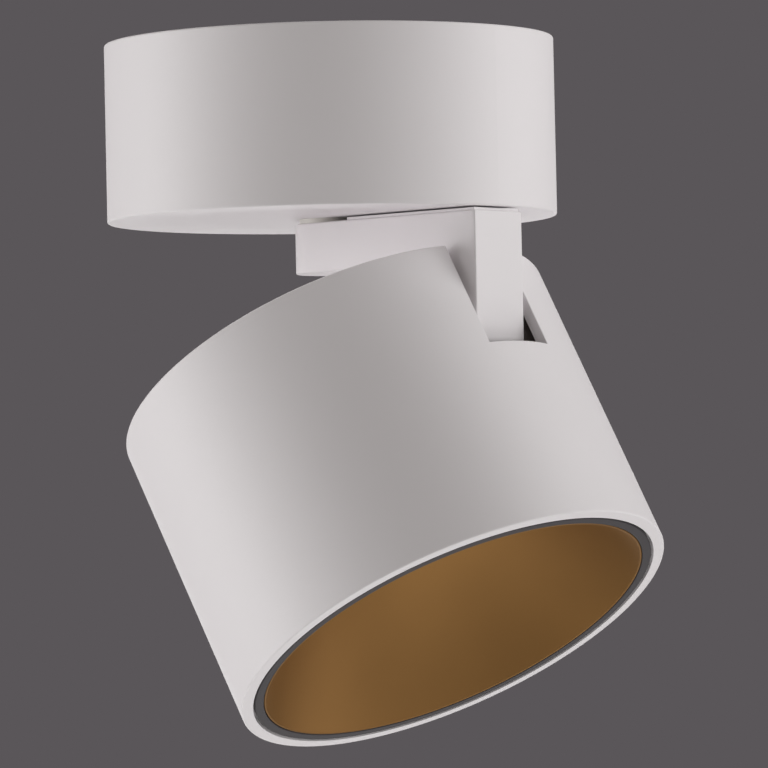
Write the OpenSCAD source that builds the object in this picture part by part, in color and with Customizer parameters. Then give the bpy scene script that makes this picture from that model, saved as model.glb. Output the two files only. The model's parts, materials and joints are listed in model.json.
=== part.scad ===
// Surface mounted ceiling spotlight: a round ceiling base, a swivelling L-shaped arm and a tilting lamp head.
// The origin is on the ceiling at the centre of the base, +Z is up, and the arm reaches out along +X.
// Head pieces are drawn with the head hanging straight down and then tilted about the axle.

/* [Ceiling base] */
// Outer diameter of the ceiling base
base_d = 100; // [84:1:120]
// Height of the base below the ceiling
base_h = 39.6; // [33.2:0.2:60]
// Wall thickness of the base housing
base_wall = 3; // [2.4:0.1:3.2]
// Floor thickness of the base housing
base_floor = 3.2; // [3:0.1:4.5]
// Rounding of the base housing's outer edges
base_edge_r = 0.4; // [0.3:0.1:1.6]

/* [Mounting plate] */
// Thickness of the ceiling plate
plate_t = 2; // [1.5:0.1:2.4]
// Gap between the ceiling plate and the housing wall
plate_gap = 0.5; // [0.3:0.1:0.8]
// Distance from the plate's edge to the outer end of a screw slot
slot_edge = 6.5; // [5.5:0.5:7.5]
// Length of a screw slot, end to end
slot_length = 12; // [9:1:13]
// Width of a screw slot
slot_width = 4.6; // [4:0.1:5.5]
// Width of a bayonet tab, as an angle
tab_angle = 24; // [18:1:30]
// Depth of a bayonet tab's hook below the ceiling plate
tab_drop = 2.8; // [2.6:0.1:3.4]
// Sheet thickness of the tabs
tab_t = 1.6; // [1.2:0.1:1.8]
// Depth of the lock screw below the ceiling
lock_depth = 10; // [9:0.5:12]
// Radius of the hole through the cable grommet
grommet_bore_r = 4; // [3:0.1:4.5]

/* [Driver] */
// Gap between the driver case and each screw slot beside it
driver_slot_gap = 5; // [4.5:0.5:8]
// Gap between the driver case and the bayonet tab behind it
driver_tab_gap = 3; // [2.5:0.5:6]
// Room between the driver's lid and the swivel tube, for the lead
driver_room = 5.7; // [5.4:0.1:7.5]
// Wall of the driver case
driver_wall = 1.6; // [1.2:0.1:2]
// Thickness of the driver's lid
driver_lid_t = 1.6; // [1.2:0.1:1.8]

/* [Terminals] */
// Gap between the terminal block and the grommet's flange
terminal_gap = 4.1; // [3.1:0.1:6]
// Depth of the terminal block
terminal_l = 16; // [14:0.5:17]
// Room for the supply cores between the terminal block and the housing's wall
wiring_room = 15; // [13:0.5:16]
// Height of the terminal block
terminal_h = 14; // [12:0.5:16]

/* [Swivel] */
// Radius of the hollow swivel tube
tube_r = 5; // [4.6:0.1:5.4]
// Radius of the swivel tube's bore
tube_bore_r = 3.2; // [2.8:0.1:3.4]
// Radius of the bush's flange, which shows as a short neck above the arm
neck_r = 7.3; // [7:0.1:7.6]
// Height of the neck
neck_h = 1; // [0.8:0.1:2]
// Thickness of the slide washer
slide_washer_t = 1; // [0.8:0.1:1.2]
// Height of the wave spring
wave_h = 1.2; // [1:0.1:1.4]
// Thickness of the stop washer
stop_washer_t = 1.5; // [1.2:0.1:1.7]
// Height of one swivel nut
swivel_nut_h = 4; // [3:0.1:4.2]
// Distance of the stop pin from the swivel axis
stop_pin_reach = 13; // [12.5:0.1:14]

/* [Arm] */
// Width of the arm
arm_w = 15.3; // [15:0.1:16.5]
// Height of the arm's bar
bar_h = 11.1; // [10.5:0.1:13]
// Distance from the swivel axis to the leg's outer face
arm_reach = 49.7; // [42:0.1:60]
// Distance from the swivel axis to the arm's inner end
arm_back = 8.5; // [7.8:0.1:10]
// Half the width of the leg
leg_r = 11.7; // [11:0.1:12.4]
// Length of the leg below the tilt axle
leg_end = 8.5; // [8.3:0.1:9.5]
// Radius of the leg's rounded lower corners
leg_corner_r = 3; // [2:0.1:4.5]
// Thickness of the cover over the arm's cable channel
arm_cover_t = 1.5; // [1:0.1:1.6]
// Width of the arm's cover
arm_cover_w = 9.8; // [8:0.1:10.5]
// Width of the cover's raised plate
arm_plate_w = 14.3; // [12:0.1:14.8]
// Gap between the cover's raised plate and the base
arm_plate_gap = 0.4; // [0.3:0.1:0.6]
// Width of the cable channel in the arm
channel_w = 7; // [5:0.1:7.2]

/* [Tilt joint] */
// Tilt of the head in the rest pose, from straight down
tilt = 30; // [0:0.5:90]
// Gap between the bar and the head when the head hangs straight down
head_gap = 0.4; // [0.3:0.1:1.5]
// Depth of the axle's centre below the head's top
pin_depth = 10.4; // [10:0.1:11]
// Radius of the hollow axle
axle_r = 4; // [3.6:0.1:4.2]
// Radius of the axle's bore
axle_bore_r = 2.5; // [2.1:0.1:2.7]
// Thickness of a friction washer between the leg and the bracket
friction_washer_t = 1.5; // [1.2:0.1:1.8]
// Sheet thickness of the tilt bracket
bracket_t = 2; // [1.6:0.1:2.2]
// Radius of the bracket's ears about the axle
ear_r = 7; // [6.6:0.1:7]
// Thickness of the axle's head
axle_head_t = 2; // [1.6:0.1:2.4]
// Thickness of the spring washer under the axle's nut
spring_washer_t = 1.2; // [0.8:0.1:1.4]
// Thickness of the axle's nut
axle_nut_t = 3; // [2.4:0.1:3.2]

/* [Head] */
// Outer diameter of the head
head_d = 100; // [84:1:118]
// Height of the head
head_h = 68.4; // [57:0.3:90]
// Wall thickness of the head housing
head_wall = 2.6; // [2.2:0.1:2.7]
// Thickness of the head housing's top
head_top_t = 2.6; // [2:0.1:2.7]
// Rounding of the head's top edge
head_edge_r = 0.4; // [0.3:0.1:1.6]
// Rounding of the head's rim
rim_edge_r = 0.4; // [0.3:0.1:1.2]
// Distance of the leg's outer face inside the head's side
leg_inset = 0.3; // [0.1:0.1:0.8]
// Gap between the arm's leg and each side of the head's slot
slot_gap = 1.6; // [1.3:0.1:2.2]
// Gap between the leg's corners and the bottom of the slot, as the head swings
slot_floor_gap = 1.2; // [1:0.1:1.5]
// Gap between the leg and the slot's inner end
slot_end_gap = 1; // [0.6:0.1:2]

/* [Heat sink] */
// Gap between the leg's corners and the bracket's base, as the head swings
bracket_gap = 0.8; // [0.7:0.1:1.2]
// Thickness of the heat sink's plate
sink_plate_t = 5; // [4:0.1:6]
// Height of the heat sink's fins
fin_h = 18; // [14:0.5:18]
// Thickness of a fin
fin_t = 1.6; // [1.2:0.1:2.2]
// Distance from fin to fin
fin_pitch = 6.5; // [5.5:0.1:8]
// Gap between the heat sink and the head's wall
sink_gap = 0.5; // [0.3:0.1:0.8]

/* [Light engine] */
// Side of the square light-emitting board
board_w = 24; // [20:0.5:25]
// Thickness of the board
board_t = 1.2; // [1:0.1:1.6]
// Thickness of the thermal pad
pad_t = 0.5; // [0.3:0.1:0.6]
// Radius of the light-emitting disc
emitter_r = 7; // [5:0.1:7.5]
// Thickness of the light-emitting disc
emitter_t = 0.5; // [0.3:0.1:0.6]
// Radius of the board's holder
holder_r = 22; // [21.5:0.1:23]
// Height of the board's holder
holder_h = 5; // [4.8:0.1:6]
// Thickness of the diffuser disc
diffuser_t = 1.5; // [1:0.1:1.6]

/* [Reflector and front ring] */
// Inner radius of the reflector at its throat
throat_r = 9.6; // [9.4:0.1:11]
// Radial width of the front ring
ring_w = 2.1; // [1.9:0.1:3.4]
// Wall thickness of the reflector
reflector_wall = 1; // [0.8:0.1:1]
// Depth of the front ring behind the head's rim
ring_recess = 0.1; // [0.1:0.1:1.2]
// Thickness of the front ring
ring_t = 1.4; // [1.1:0.1:2]
// Gap between the front ring and the head's wall
ring_gap = 0.5; // [0.3:0.1:0.7]
// Thickness of the reflector's lip
lip_t = 1; // [0.8:0.1:1.2]
// Thickness of the ledge that carries the lip
ledge_t = 2; // [1.5:0.1:3]

/* [Leads] */
// Radius of a sleeved lead
lead_r = 1.6; // [1.2:0.1:1.7]
// Radius of a single insulated core
core_r = 1; // [0.7:0.1:1.1]

/* [Screws and fits] */
// Radius of a small screw's shank
screw_r = 1.5; // [1.3:0.1:1.6]
// Radius of a small screw's head
screw_head_r = 2.75; // [2.4:0.05:2.9]
// Height of a small screw's head
screw_head_h = 2; // [1.6:0.1:2]
// Radial clearance of a shaft that turns in its hole
run_gap = 0.05; // [0.02:0.01:0.09]
// Radial clearance of a screw or tube that is fixed in its hole
hold_gap = 0.02; // [0.01:0.01:0.04]
// Gap between pieces that lie beside each other
loose_gap = 0.3; // [0.2:0.05:0.4]

/* [Hidden] */
$fn = 96;
// Overrun of every cut past the face that it opens
cut = 1;
// Corners in a rounded edge's quarter arc
arc_steps = 6;

// Radii of the base and its plate
base_r = base_d / 2;
base_in_r = base_r - base_wall;
plate_r = base_in_r - plate_gap;
// Heights in the base
floor_z = base_floor - base_h;
plate_bottom_z = -plate_t;

// Swivel stack on the base's floor
bush_wall = 1.5;
bush_r = tube_r + run_gap + bush_wall;
slide_top_z = floor_z + slide_washer_t;
wave_top_z = slide_top_z + wave_h;
stop_top_z = wave_top_z + stop_washer_t;
nut_top_z = stop_top_z + 2 * swivel_nut_h;
tube_spare = 0.4;
tube_top_z = nut_top_z + tube_spare;
tube_grip = 5;
stack_rim = 4;
stack_r = tube_r + stack_rim;
wave_inset = 0.4;
wave_count = 3;
wave_pad_angle = 40;
nut_rim = 2;
nut_across = 2 * (tube_r + nut_rim);
stop_tab_w = 3;
stop_tab_spare = 1.6;
stop_pin_r = 1.25;
stop_pin_grip = 1.8;
stop_pin_spare = 0.6;

// Bayonet tabs, their hooks and the housing's lugs
tab_angles = [90, 210, 330];
hook_reach = 3.9;
tab_leg_in_r = plate_r - hook_reach - tab_t;
hook_end_gap = 1.4;
hook_top_z = plate_bottom_z - tab_drop;
lug_t = 2;
lug_reach = 3.6;
lug_spare_angle = 4;
// Lock tab and its grub screw
lock_angle = 150;
lock_tab_w = 10;
lock_tab_end_gap = 2;
lock_tab_below = 3;
lock_screw_recess = 0.6;
socket_r = 0.9;
socket_depth = 1.3;

// Screw slots' distance from the middle
slot_reach = plate_r - slot_edge - slot_length / 2;

// Place of the cable hole as shares of the plate's radius, and the grommet's sizes
grommet_place_shares = [-0.4301, -0.5161];
grommet_x = grommet_place_shares[0] * plate_r;
grommet_y = grommet_place_shares[1] * plate_r;
grommet_wall = 1.5;
grommet_flange = 2.4;
grommet_flange_t = 1.4;

// Terminal block between the grommet and the side of the driver
terminal_overhang = 1;
terminal_space = 12;
driver_w = 2 * (slot_reach - slot_length / 2 - driver_slot_gap);
terminal_x0 = grommet_x + grommet_bore_r + grommet_wall + grommet_flange + terminal_gap;
terminal_x1 = driver_w / 2 + terminal_overhang;
terminal_w = terminal_x1 - terminal_x0;
terminal_x = (terminal_x0 + terminal_x1) / 2;
terminal_y0 = wiring_room - base_in_r;
terminal_y1 = terminal_y0 + terminal_l;
terminal_mid_y = terminal_y0 + terminal_l / 2;
terminal_bottom_z = plate_bottom_z - terminal_h;
pole_pitch = terminal_w / 3;
poles = [-1, 0, 1];
wire_hole_r = 2;
wire_hole_depth = 5;
terminal_edge_gap = 3;
terminal_screw_r = 1.7;
terminal_screw_h = 4;
driver_slit_w = 0.6;
driver_slit_depth = 0.8;
core_z = plate_bottom_z - terminal_h / 2;

// Driver in the room that the terminal block, the far tab, the slots and the swivel tube leave
driver_y0 = terminal_y1 + terminal_space;
driver_l = tab_leg_in_r - driver_tab_gap - driver_y0;
driver_h = plate_bottom_z - driver_lid_t - driver_room - tube_top_z;
driver_bottom_z = plate_bottom_z - driver_h;
driver_mid_y = driver_y0 + driver_l / 2;
driver_post_inset = 3.6;
driver_post_r = 3;
driver_board_t = 1.6;
driver_board_depth = 3;
driver_screw_grip = 1.6;
driver_screw_places = [for (sx = [-1, 1], sy = [-1, 1])
    [sx * (driver_w / 2 - driver_post_inset), driver_mid_y + sy * (driver_l / 2 - driver_post_inset)]];
board_bottom_z = plate_bottom_z - driver_board_depth - driver_board_t;
part_lid_gap = 2.9;
part_h = board_bottom_z - driver_bottom_z - part_lid_gap;
transformer_shares = [0.35, 0.33];
transformer_w = transformer_shares[0] * driver_w;
transformer_l = transformer_shares[1] * driver_l;
transformer_x_share = -0.2;
transformer_post_gap = 2.4;
winding_over = 1.2;
capacitor_r_share = 0.083;
capacitor_r = capacitor_r_share * driver_l;
capacitor_place_shares = [[0.18, 0.24], [0.18, -0.02], [0.18, -0.28]];

// Earth screw beside the terminal block
earth_side_gap = 7;
earth_end_gap = 3;
earth_x = terminal_x1 + earth_side_gap;
earth_y = terminal_y1 + earth_end_gap;
earth_head_r = 3.4;
earth_head_h = 2.2;
ring_t_z = 0.8;
ring_outer_r = 3.6;
barrel_r = 1.5;
barrel_l = 4;

// Arm
neck_bottom_z = -base_h - neck_h;
arm_top_z = neck_bottom_z;
arm_bottom_z = arm_top_z - bar_h;
pin_reach = arm_reach - leg_r;
leg_in_x = pin_reach - leg_r;
leg_corner_x = leg_r - leg_corner_r;
leg_corner_z = leg_end - leg_corner_r;
leg_swing_r = norm([leg_corner_x, leg_corner_z]) + leg_corner_r;
tube_bottom_z = arm_top_z - tube_grip;
arm_cover_gap = 0.1;
arm_plate_h = neck_h - arm_plate_gap;
arm_plate_top_z = arm_top_z + arm_plate_h;
arm_plate_x0 = 11.3;
arm_plate_end = 0.5;
arm_cover_x0 = 9;
arm_cover_end = 2;
channel_floor = 1.8;
channel_bottom_z = arm_bottom_z + channel_floor;
leg_channel_w = 6;
channel_end_x = pin_reach + leg_channel_w / 2;
tube_hole_r = tube_bore_r + 0.2 * tube_bore_r;
cover_screw_inset = 3;
cover_screw_r = 1.25;
cover_screw_head_r = 2.3;
cover_screw_l = 6;
lead_lift = 0.4;
arm_lead_z = channel_bottom_z + lead_r + lead_lift;

// Tilt axle
pin_z = arm_bottom_z - head_gap - pin_depth;
ear_in_y = arm_w / 2 + friction_washer_t;
ear_out_y = ear_in_y + bracket_t;
axle_head_r = 6;
spring_washer_r = 6.2;
axle_nut_across = 11;
axle_spare = 1;
axle_end_y = ear_out_y + spring_washer_t + axle_nut_t + axle_spare;
axle_start_y = ear_out_y + axle_head_t;
friction_washer_r = 6.8;
window_r = 2;
set_screw_l = 4;

// Head, in its own place: u along the arm from the head's axis, w down from its top
head_r = head_d / 2;
head_in_r = head_r - head_wall;
pin_u = head_r - leg_inset - leg_r;
slot_w = arm_w + 2 * slot_gap;
slot_depth = pin_depth + leg_swing_r + slot_floor_gap;
slot_in_u = pin_u - leg_r - slot_end_gap;
bracket_w = pin_depth + leg_swing_r + bracket_gap;
sink_w = bracket_w + bracket_t;
sink_bottom_w = sink_w + sink_plate_t;
sink_r = head_in_r - sink_gap;
post_r = 3.5;
post_inset = 9.4;
post_reach = head_in_r - post_inset;
post_angles = [60, 180, 300];
post_space = 1.2;
bracket_foot = 8.75;
bracket_base_y = ear_out_y + bracket_foot;
bracket_base_in = 10;
bracket_base_out = 3;
bracket_u0 = pin_u - bracket_base_in;
bracket_u1 = pin_u + bracket_base_out;
bracket_screw_y = ear_out_y + bracket_foot * 0.6;
bracket_screw_inset = 3.2;
bracket_screw_us = [bracket_u0 + bracket_screw_inset, bracket_u1 - bracket_screw_inset];
sink_hole_r = 2.6;
lead_side_gap = 1.9;
lead_board_gap = 3.5;
lead_drop_u = board_w / 2 + lead_board_gap;
fin_lead_gap = 1.4;
fin_clear_u = lead_drop_u - lead_r - fin_lead_gap;
fin_clear_gap = 3;
fin_clear_y = bracket_base_y + fin_clear_gap;

// Light engine
board_w0 = sink_bottom_w + pad_t;
emitter_w0 = board_w0 + board_t;
holder_bottom_w = sink_bottom_w + holder_h;
holder_pocket_gap = 0.3;
aperture_r = 8;
diffuser_r = 9.1;
diffuser_step_gap = 0.05;
diffuser_lift = 0.8;
diffuser_w0 = emitter_w0 + emitter_t + diffuser_lift;
holder_screw_reach = 17.5;

// Reflector and front ring
ring_r = head_in_r - ring_gap;
ring_in_gap = 0.1;
ring_in_r = ring_r - ring_w;
reflector_edge = 0.4 * reflector_wall;
mouth_out_r = ring_in_r - ring_in_gap;
mouth_r = mouth_out_r - reflector_edge;
ring_face_w = head_h - ring_recess;
ring_back_w = ring_face_w - ring_t;
lip_back_w = ring_back_w - lip_t;
mouth_recess = 0.1;
mouth_w = ring_face_w - mouth_recess;
reflector_steps = 18;
tongue_t = 0.9;
tongue_w = 8;
tongue_l = 5.6;
barb_h = 1.5;
lip_r = ring_r - tongue_t - ring_in_gap;
lip_in_r = bowl_r((lip_back_w - holder_bottom_w) / (mouth_w - holder_bottom_w)) + 0.8 * reflector_wall;
ledge_in_r = lip_r - 0.6 * ledge_t;
tongue_side_gap = 2;
ledge_gap_w = tongue_w + 2 * tongue_side_gap;

// Quarter arc about [cx, cy], from angle a0 to angle a1
function arc(cx, cy, r, a0, a1) =
    [for (i = [0 : arc_steps]) let (a = a0 + (a1 - a0) * i / arc_steps) [cx + r * cos(a), cy + r * sin(a)]];

// Reflector's inner radius at a share s of its depth, from throat to mouth
function bowl_r(s) = sqrt(throat_r * throat_r + (mouth_r * mouth_r - throat_r * throat_r) * s);

// Flat ring, standing on z = 0
module ring(outer, inner, h) {
    difference() {
        cylinder(r = outer, h = h);
        translate([0, 0, -cut]) cylinder(r = inner, h = h + 2 * cut);
    }
}

// Part of a ring, centred on angle a and spanning the given angle
module sector(outer, inner, h, a, span) {
    rotate([0, 0, a - span / 2])
        rotate_extrude(angle = span)
            translate([inner, 0]) square([outer - inner, h]);
}

// Hexagonal nut with its bore, standing on z = 0
module hex_nut(across, bore, h) {
    difference() {
        cylinder(r = across / sqrt(3), h = h, $fn = 6);
        translate([0, 0, -cut]) cylinder(r = bore, h = h + 2 * cut);
    }
}

// Cap screw standing head up: the shank goes down from z = 0 and the head goes up
module cap_screw(shank_l, shank_r = screw_r, cap_r = screw_head_r, cap_h = screw_head_h) {
    translate([0, 0, -shank_l]) cylinder(r = shank_r, h = shank_l);
    difference() {
        cylinder(r = cap_r, h = cap_h);
        translate([0, 0, cap_h - cap_h * 0.6]) cylinder(r = shank_r * 0.8, h = cap_h, $fn = 6);
    }
}

// Straight round rod between two points
module rod(a, b, r) {
    d = b - a;
    l = norm(d);
    translate(a) rotate([0, acos(d[2] / l), atan2(d[1], d[0])]) cylinder(r = r, h = l, $fn = 32);
}

// Lead that follows a list of points, with round bends
module lead(points, r) {
    for (i = [0 : len(points) - 2]) rod(points[i], points[i + 1], r);
    for (i = [1 : len(points) - 2]) translate(points[i]) sphere(r = r, $fn = 32);
}

// Places head pieces: turns the head's own frame to the rest tilt about the axle
module in_head() {
    translate([pin_reach, 0, pin_z])
        rotate([0, -tilt, 0])
            translate([-pin_u, 0, pin_depth]) children();
}

// Ceiling plate with slots, cable hole, bayonet tabs and lock tab
module mounting_plate() {
    color("silver") difference() {
        union() {
            translate([0, 0, plate_bottom_z]) cylinder(r = plate_r, h = plate_t);
            for (a = tab_angles) {
                translate([0, 0, hook_top_z - tab_t])
                    sector(tab_leg_in_r + tab_t, tab_leg_in_r, tab_drop + tab_t + plate_t / 2, a, tab_angle);
                translate([0, 0, hook_top_z - tab_t])
                    sector(base_in_r - hook_end_gap, tab_leg_in_r, tab_t, a, tab_angle);
            }
            lock_tab();
        }
        for (side = [-1, 1]) translate([side * slot_reach, 0, 0]) screw_slot();
        translate([grommet_x, grommet_y, plate_bottom_z - cut])
            cylinder(r = grommet_bore_r + grommet_wall + hold_gap, h = plate_t + 2 * cut);
        translate([earth_x, earth_y, plate_bottom_z - cut])
            cylinder(r = screw_r + hold_gap, h = plate_t + 2 * cut);
        for (p = driver_screw_places)
            translate([p[0], p[1], plate_bottom_z - cut])
                cylinder(r = screw_r + hold_gap, h = driver_screw_grip + cut);
    }
}

// Slot with round ends, through the plate
module screw_slot() {
    straight = slot_length - slot_width;
    translate([0, 0, plate_bottom_z - cut]) {
        translate([-straight / 2, -slot_width / 2, 0]) cube([straight, slot_width, plate_t + 2 * cut]);
        for (end = [-1, 1])
            translate([end * straight / 2, 0, 0]) cylinder(r = slot_width / 2, h = plate_t + 2 * cut);
    }
}

// Upright tab that the lock screw presses on
module lock_tab() {
    tab_h = lock_depth + lock_tab_below - plate_t / 2;
    rotate([0, 0, lock_angle])
        translate([base_in_r - lock_tab_end_gap - tab_t, -lock_tab_w / 2, -lock_depth - lock_tab_below])
            cube([tab_t, lock_tab_w, tab_h]);
}

// Rubber grommet in the cable hole, flanged above and below the plate's hole edge
module cable_grommet() {
    r = grommet_bore_r + grommet_wall;
    color("dimgray") translate([grommet_x, grommet_y, 0]) difference() {
        union() {
            translate([0, 0, plate_bottom_z]) cylinder(r = r, h = plate_t);
            translate([0, 0, plate_bottom_z - grommet_flange_t])
                cylinder(r = r + grommet_flange, h = grommet_flange_t);
        }
        translate([0, 0, plate_bottom_z - grommet_flange_t - cut])
            cylinder(r = grommet_bore_r, h = plate_t + grommet_flange_t + 2 * cut);
    }
}

// Three-pole terminal block with wire holes and screw wells
module terminal_block() {
    color("white") difference() {
        translate([terminal_x - terminal_w / 2, terminal_y1 - terminal_l, terminal_bottom_z])
            cube([terminal_w, terminal_l, terminal_h]);
        for (i = poles) {
            x = terminal_x + i * pole_pitch;
            translate([x, terminal_y1 - terminal_l - cut, core_z])
                rotate([-90, 0, 0]) cylinder(r = wire_hole_r, h = wire_hole_depth + cut);
            translate([x, terminal_mid_y, terminal_bottom_z - cut])
                cylinder(r = terminal_screw_r + hold_gap, h = terminal_screw_h + terminal_edge_gap / 3 + cut);
        }
    }
}

// Slotted screws in the terminal block, one to a pole
module terminal_screws() {
    sunk = terminal_edge_gap / 3;
    color("goldenrod") for (i = poles)
        translate([terminal_x + i * pole_pitch, terminal_mid_y, terminal_bottom_z + sunk]) difference() {
            cylinder(r = terminal_screw_r, h = terminal_screw_h);
            translate([-driver_slit_w / 2, -terminal_screw_r - cut, -cut])
                cube([driver_slit_w, 2 * terminal_screw_r + 2 * cut, driver_slit_depth + cut]);
        }
}

// Earth screw, head down under the ring terminal
module earth_screw() {
    color("limegreen") translate([earth_x, earth_y, plate_bottom_z - ring_t_z])
        mirror([0, 0, 1]) cap_screw(plate_t + ring_t_z, screw_r, earth_head_r, earth_head_h);
}

// Ring terminal with its crimp barrel
module ring_terminal() {
    color("silver") {
        translate([earth_x, earth_y, plate_bottom_z - ring_t_z])
            ring(ring_outer_r, screw_r + run_gap, ring_t_z);
        difference() {
            translate([earth_x - ring_outer_r - barrel_l, earth_y, plate_bottom_z - barrel_r])
                rotate([0, 90, 0]) cylinder(r = barrel_r, h = barrel_l + ring_outer_r - screw_r - ring_t_z);
            translate([earth_x - earth_head_r - loose_gap, earth_y - ring_outer_r,
                plate_bottom_z - 2 * barrel_r - cut])
                cube([2 * ring_outer_r, 2 * ring_outer_r, 2 * barrel_r + cut - ring_t_z]);
        }
    }
}

// Earth lead from the terminal block to the ring terminal's barrel
module earth_lead() {
    x0 = terminal_x + pole_pitch;
    x1 = earth_x - ring_outer_r - barrel_l;
    color("yellowgreen") lead([[x0, terminal_y1, core_z], [x0, earth_y, core_z],
        [x0, earth_y, plate_bottom_z - barrel_r], [x1, earth_y, plate_bottom_z - barrel_r]], core_r);
}

// Driver case: a box open below, with four screw posts
module driver_case() {
    color("whitesmoke") difference() {
        translate([-driver_w / 2, driver_y0, driver_bottom_z]) cube([driver_w, driver_l, driver_h]);
        difference() {
            translate([driver_wall - driver_w / 2, driver_y0 + driver_wall, driver_bottom_z - cut])
                cube([driver_w - 2 * driver_wall, driver_l - 2 * driver_wall, driver_h - driver_wall + cut]);
            for (p = driver_screw_places)
                translate([p[0], p[1], driver_bottom_z - 2 * cut])
                    cylinder(r = driver_post_r, h = driver_h + cut);
        }
        for (p = driver_screw_places)
            translate([p[0], p[1], driver_bottom_z - cut])
                cylinder(r = screw_r + run_gap, h = driver_h + 2 * cut);
    }
}

// Driver lid with its screw holes
module driver_lid() {
    color("white") difference() {
        translate([-driver_w / 2, driver_y0, driver_bottom_z - driver_lid_t])
            cube([driver_w, driver_l, driver_lid_t]);
        for (p = driver_screw_places)
            translate([p[0], p[1], driver_bottom_z - driver_lid_t - cut])
                cylinder(r = screw_r + run_gap, h = driver_lid_t + 2 * cut);
    }
}

// Circuit board inside the driver, notched round the posts and held between the case's walls
module driver_board() {
    inner_w = driver_w - 2 * driver_wall;
    inner_l = driver_l - 2 * driver_wall;
    color("green") difference() {
        translate([-inner_w / 2, driver_y0 + driver_wall, board_bottom_z])
            cube([inner_w, inner_l, driver_board_t]);
        for (p = driver_screw_places)
            translate([p[0], p[1], board_bottom_z - cut])
                cylinder(r = driver_post_r + run_gap, h = driver_board_t + 2 * cut);
    }
}

// Transformer: a core block with a round winding through it
module driver_transformer() {
    x = transformer_x_share * driver_w;
    y1 = driver_mid_y + driver_l / 2 - driver_post_inset - driver_post_r - transformer_post_gap;
    color("gold") {
        translate([x - transformer_w / 2, y1 - transformer_l, board_bottom_z - part_h])
            cube([transformer_w, transformer_l, part_h]);
        translate([x - transformer_w / 2 - winding_over, y1 - transformer_l / 2, board_bottom_z - part_h / 2])
            rotate([0, 90, 0]) cylinder(r = part_h / 2, h = transformer_w + 2 * winding_over);
    }
}

// Three round capacitors on the driver's board
module driver_capacitors() {
    color("royalblue") for (s = capacitor_place_shares)
        translate([s[0] * driver_w, driver_mid_y + s[1] * driver_l, board_bottom_z - part_h])
            cylinder(r = capacitor_r, h = part_h);
}

// Screws that hold the lid and the case on the plate
module driver_screws() {
    color("silver") for (p = driver_screw_places)
        translate([p[0], p[1], driver_bottom_z - driver_lid_t])
            mirror([0, 0, 1]) cap_screw(driver_lid_t + driver_h + driver_screw_grip);
}

// Live and neutral cores from the terminal block to the driver
module mains_leads() {
    color("saddlebrown") for (i = [poles[0], poles[1]]) {
        x = terminal_x + i * pole_pitch;
        lead([[x, terminal_y1, core_z], [x, driver_y0, core_z]], core_r);
    }
}

// Driver's output lead, bent under the lid and down into the swivel tube
module driver_lead() {
    x0 = -driver_w * 0.22;
    y0 = driver_y0 - 2.6 * lead_r;
    z0 = (plate_bottom_z + driver_bottom_z) / 2;
    z1 = driver_bottom_z - driver_lid_t - screw_head_h / 2 - lead_r;
    color("black") lead([[x0, driver_y0, z0], [x0, y0, z0], [x0, y0, z1], [x0, 0, z1], [0, 0, z1],
        [0, 0, stop_top_z]], lead_r);
}

// Round cup of the base with its bayonet lugs, its swivel hole and its lock screw hole
module base_housing() {
    color("whitesmoke") difference() {
        union() {
            rotate_extrude($fn = 180) polygon(concat(
                [[0, -base_h]],
                arc(base_r - base_edge_r, base_edge_r - base_h, base_edge_r, -90, 0),
                arc(base_r - base_edge_r, -base_edge_r, base_edge_r, 0, 90),
                [[base_in_r, 0], [base_in_r, floor_z], [0, floor_z]]));
            for (a = tab_angles) translate([0, 0, hook_top_z])
                sector(base_in_r + base_wall / 2, base_in_r - lug_reach, lug_t, a,
                    tab_angle - lug_spare_angle);
        }
        translate([0, 0, -base_h - cut]) cylinder(r = bush_r + hold_gap, h = base_floor + 2 * cut);
        rotate([0, 0, lock_angle]) translate([base_in_r - cut, 0, -lock_depth])
            rotate([0, 90, 0]) cylinder(r = screw_r + hold_gap, h = base_wall + 2 * cut, $fn = 32);
        translate([-stop_pin_reach, 0, floor_z - stop_pin_grip])
            cylinder(r = stop_pin_r + hold_gap, h = stop_pin_grip + cut, $fn = 32);
    }
}

// Grub screw through the housing's wall against the lock tab
module lock_screw() {
    r_in = base_in_r - lock_tab_end_gap;
    l = base_r - lock_screw_recess - r_in;
    color("silver") rotate([0, 0, lock_angle])
    translate([r_in, 0, -lock_depth]) rotate([0, 90, 0]) difference() {
        cylinder(r = screw_r, h = l, $fn = 32);
        translate([0, 0, l - socket_depth]) cylinder(r = socket_r, h = socket_depth + cut, $fn = 6);
    }
}

// Flanged bush that lines the floor's hole; its flange is the neck above the arm
module swivel_bush() {
    color("gainsboro") difference() {
        union() {
            translate([0, 0, -base_h]) cylinder(r = bush_r, h = base_floor);
            translate([0, 0, neck_bottom_z]) cylinder(r = neck_r, h = neck_h);
        }
        translate([0, 0, neck_bottom_z - cut])
            cylinder(r = tube_r + run_gap, h = base_floor + neck_h + 2 * cut);
    }
}

// Pin in the floor that stops the swivel
module stop_pin() {
    color("silver") translate([-stop_pin_reach, 0, floor_z - stop_pin_grip])
        cylinder(r = stop_pin_r, h = stop_pin_grip + stop_top_z - floor_z + stop_pin_spare, $fn = 32);
}

// Hollow tube that carries the arm
module swivel_tube() {
    color("silver") translate([0, 0, tube_bottom_z]) ring(tube_r, tube_bore_r, tube_top_z - tube_bottom_z);
}

// Flat slide washer on the floor
module slide_washer() {
    color("ivory") translate([0, 0, floor_z]) ring(stack_r, tube_r + run_gap, slide_washer_t);
}

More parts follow.
